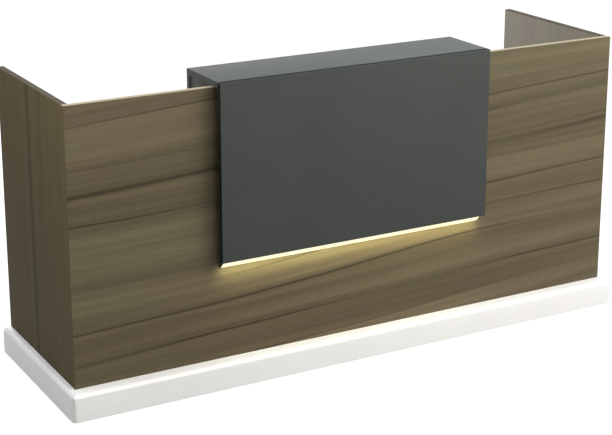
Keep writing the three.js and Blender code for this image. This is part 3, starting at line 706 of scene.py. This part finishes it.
# Pale studio: a white sky, a pale floor and soft lamps
studio = {
    "white": "#ffffff",
    "sky": 0.35,
    "floorSize": 60.0,
    "floorDrop": 0.5 * mm,  # below the plinth's underside
    "floor": "#929290",
    "floorLift": 0.8,  # what the eye adds to the floor, so that it fades into the white sky
    # place, aim, width, depth, watts, colour
    "lamps": {
        "key": ((1.9, -2.1, 2.9), (0.5, -0.3, 0.8), 2.0, 2.0, 113, "#fffcf8"),
        "left": ((-1.8, -0.2, 1.95), (-1.1, 0.05, 0.85), 0.8, 0.8, 13, "#ffffff"),
        "top": ((1.6, 0.9, 2.6), (0.5, -0.1, 0.9), 1.6, 1.6, 14, "#dceaff"),
        "inside": ((-0.5, 0.35, 2.3), (1.07, 0.15, 0.9), 0.6, 0.6, 12, "#ffffff"),
        "rear": ((0.3, 3.2, 0.7), (0.0, 0.2, 0.5), 2.4, 0.9, 42, "#ffffff"),
    },
    # where the light comes from, softness in degrees, strength, colour
    "suns": {
        "front": ((0.2, -0.8, 0.55), 40, 0.95, "#ffffff"),
        "back": ((0.1, 0.55, 0.85), 50, 1.0, "#e6edff"),
    },
}


# 1 where the eye looks, straight, in a mirror or through glass, and 0 where light is gathered
def seenOnly(tree):
    path = addNode(tree, "ShaderNodeLightPath").outputs
    seen = addNode(tree, "ShaderNodeMath",
                   {0: path["Is Camera Ray"], 1: path["Is Glossy Ray"]}, operation="ADD")
    through = addNode(tree, "ShaderNodeMath",
                      {0: seen.outputs[0], 1: path["Is Transmission Ray"]}, operation="ADD", use_clamp=True)
    return through.outputs[0]


def makeSky():
    world = bpy.data.worlds.new("studio")
    world.use_nodes = True
    tree = world.node_tree
    tree.nodes.clear()
    level = addNode(tree, "ShaderNodeMapRange",
                    {"Value": seenOnly(tree), "To Min": studio["sky"], "To Max": 1.0}).outputs[0]
    sky = addNode(tree, "ShaderNodeBackground", {"Color": linear(studio["white"]), "Strength": level})
    addNode(tree, "ShaderNodeOutputWorld", {"Surface": sky.outputs[0]})
    scene.world = world


def makeFloor():
    half = studio["floorSize"] / 2
    mesh = bpy.data.meshes.new("floor")
    corners = [(-half, -half, 0), (half, -half, 0), (half, half, 0), (-half, half, 0)]
    mesh.from_pydata(corners, [], [(0, 1, 2, 3)])
    # matt paint: no shine, only the desk's soft shadow
    material, tree, shader = newMaterial("floor, matt paint", Roughness=0.9, IOR=1.2)
    shader.inputs["Base Color"].default_value = linear(studio["floor"])
    shader.inputs["Emission Color"].default_value = linear(studio["white"])
    lift = addNode(tree, "ShaderNodeMath", {0: seenOnly(tree), 1: studio["floorLift"]}, operation="MULTIPLY")
    tree.links.new(lift.outputs[0], shader.inputs["Emission Strength"])
    mesh.materials.append(material)
    floor = addObject("floor", mesh)
    floor.location.z = -studio["floorDrop"]


# A light of either kind, shining the way given
def addLight(name, kind, way, power, colour):
    data = bpy.data.lights.new(name, kind)
    data.energy = power
    data.color = linear(colour)[:3]
    light = addObject(name, data)
    light.rotation_euler = Vector(way).to_track_quat("-Z", "Y").to_euler()
    return light


def addLamp(name, place, aim, width, depth, watts, colour):
    lamp = addLight(name, "AREA", Vector(aim) - Vector(place), watts, colour)
    lamp.data.shape = "RECTANGLE"
    lamp.data.size = width
    lamp.data.size_y = depth
    lamp.location = place
    lamp.visible_camera = False


def addSun(name, direction, softness, strength, colour):
    sun = addLight(name, "SUN", -Vector(direction), strength, colour)
    sun.data.angle = math.radians(softness)


makeSky()
makeFloor()
for name, lamp in studio["lamps"].items():
    addLamp(name, *lamp)
for name, sun in studio["suns"].items():
    addSun(name, *sun)

# The light line's own light, which the diffuser throws on the wood below the fascia
glow = {
    "watts": 0.82,
    "width": 14 * mm,
    "colour": "#f6f5c0",
    "drop": 4 * mm,  # below the diffuser
    "forward": 27 * mm,  # from the diffuser's rear edge
    "way": (0, 0.8, -1.0),  # down and back to the wood
}
stripLow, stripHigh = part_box("light_diffuser")
stripMiddle = (stripLow.x + stripHigh.x) / 2
glowPlace = Vector((stripMiddle, stripHigh.y - glow["forward"], stripLow.z - glow["drop"]))
glowAim = glowPlace + Vector(glow["way"])
addLamp("glow", glowPlace, glowAim, stripHigh.x - stripLow.x, glow["width"], glow["watts"], glow["colour"])
print("studio done")
